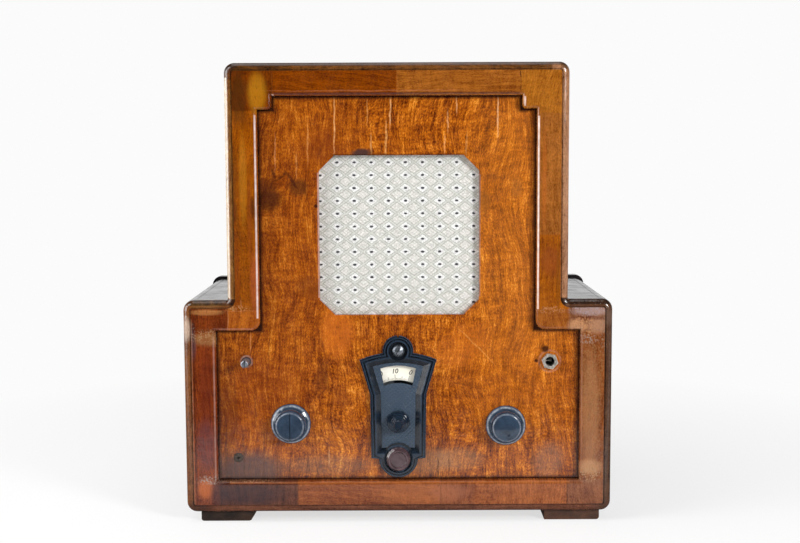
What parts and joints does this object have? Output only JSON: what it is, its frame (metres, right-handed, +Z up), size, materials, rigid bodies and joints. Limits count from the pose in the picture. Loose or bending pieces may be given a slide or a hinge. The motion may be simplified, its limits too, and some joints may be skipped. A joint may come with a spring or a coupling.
{
  "type": "table radio receiver",
  "caption": "Mains table radio in a stepped walnut cabinet with square speaker opening, dial window, turning knobs, jack and slotted back cover.",
  "frame": {"origin": "on the table under the middle of the set", "axes": "+Z up, the front with its knobs faces -Y, +X to the right of a person who looks at the front"},
  "size_m": [0.428, 0.2396, 0.4569],
  "materials": {
    "panel_veneer": "gloss",
    "frame_veneer": "gloss",
    "cabinet_lacquer": "gloss",
    "raw_wood": "matte",
    "foot_wood": "satin",
    "back_board": "matte",
    "speaker_fabric": "woven",
    "black_moulding": "gloss",
    "brown_moulding": "gloss",
    "dial_card": "satin",
    "nickel": "polished",
    "steel": "satin",
    "sheet_steel": "satin",
    "dark_steel": "matte",
    "brass": "satin",
    "aluminium": "satin",
    "black_metal": "satin",
    "coil_paper": "matte",
    "waxed_card": "waxed",
    "cone_paper": "matte",
    "valve_glass": "clear"
  },
  "bodies": {
    "cabinet": {"front_panel": "panel_veneer", "front_frame": "frame_veneer", "edge_moulding": "frame_veneer", "bottom_board": "raw_wood", "side_board_left": "cabinet_lacquer", "side_board_right": "cabinet_lacquer", "shoulder_board_left": "cabinet_lacquer", "shoulder_board_right": "cabinet_lacquer", "tower_side_left": "cabinet_lacquer", "tower_side_right": "cabinet_lacquer", "top_board": "cabinet_lacquer", "rear_frame": "cabinet_lacquer", "glue_blocks": "raw_wood", "back_cover": "back_board", "back_cover_screws": "steel", "foot_left": "foot_wood", "foot_right": "foot_wood", "speaker_cloth": "speaker_fabric", "baffle_board": "raw_wood", "baffle_screws": "steel", "escutcheon": "black_moulding", "escutcheon_screw": "black_moulding", "drive_bush": "brass", "drive_bracket": "sheet_steel", "volume_control": "brown_moulding", "reaction_control": "brown_moulding", "switch_body": "brown_moulding", "jack_nut": "nickel", "jack_body": "nickel", "jack_spring": "nickel", "panel_plug": "dark_steel", "chassis": "sheet_steel", "chassis_screws": "steel", "capacitor_frame": "sheet_steel", "stator_plates": "aluminium", "transformer_core": "dark_steel", "transformer_coil": "coil_paper", "smoothing_block": "waxed_card", "coil_cans": "aluminium", "valve_holders": "black_moulding", "valve_bases": "brown_moulding", "valve_bulbs": "valve_glass", "terminal_strip": "brown_moulding", "mains_bush": "black_moulding", "speaker_basket": "black_metal", "speaker_magnet": "black_metal", "dial_lamp": "brass"},
    "tuning": {"dial_scale": "dial_card", "dial_wheel": "sheet_steel", "main_spindle": "nickel", "stepped_knob": "black_moulding", "rotor_plates": "aluminium"},
    "drive": {"drive_knob": "brown_moulding", "drive_spindle": "steel"},
    "volume": {"volume_knob": "black_moulding", "volume_spindle": "steel"},
    "reaction": {"reaction_knob": "black_moulding", "reaction_spindle": "steel"},
    "mains_switch": {"switch_spindle": "steel"},
    "cone": {"speaker_cone": "cone_paper"}
  },
  "joints": [
    {"name": "tuning_turn", "type": "hinge", "parent": "cabinet", "child": "tuning", "pos_m": [0, -0.1102, 0.1006], "axis": [0, 1, 0], "range_deg": [-14, 166]},
    {"name": "drive_turn", "type": "hinge", "parent": "cabinet", "child": "drive", "pos_m": [0, -0.1102, 0.0635], "axis": [0, 1, 0], "range_deg": [-996, 84]},
    {"name": "volume_turn", "type": "hinge", "parent": "cabinet", "child": "volume", "pos_m": [-0.107, -0.1102, 0.099], "axis": [0, 1, 0], "range_deg": [-150, 150]},
    {"name": "reaction_turn", "type": "hinge", "parent": "cabinet", "child": "reaction", "pos_m": [0.107, -0.1102, 0.0965], "axis": [0, 1, 0], "range_deg": [-90, 90]},
    {"name": "switch_turn", "type": "hinge", "parent": "cabinet", "child": "mains_switch", "pos_m": [-0.1505, -0.1102, 0.1615], "axis": [0, 1, 0], "range_deg": [0, 60]},
    {"name": "cone_travel", "type": "slide", "parent": "cabinet", "child": "cone", "axis": [0, 1, 0], "range_m": [-0.001, 0.001], "stiffness_N_per_m": 1800}
  ],
  "couplings": [
    {"joint": "drive_turn", "follows": "tuning_turn", "ratio": -6}
  ]
}
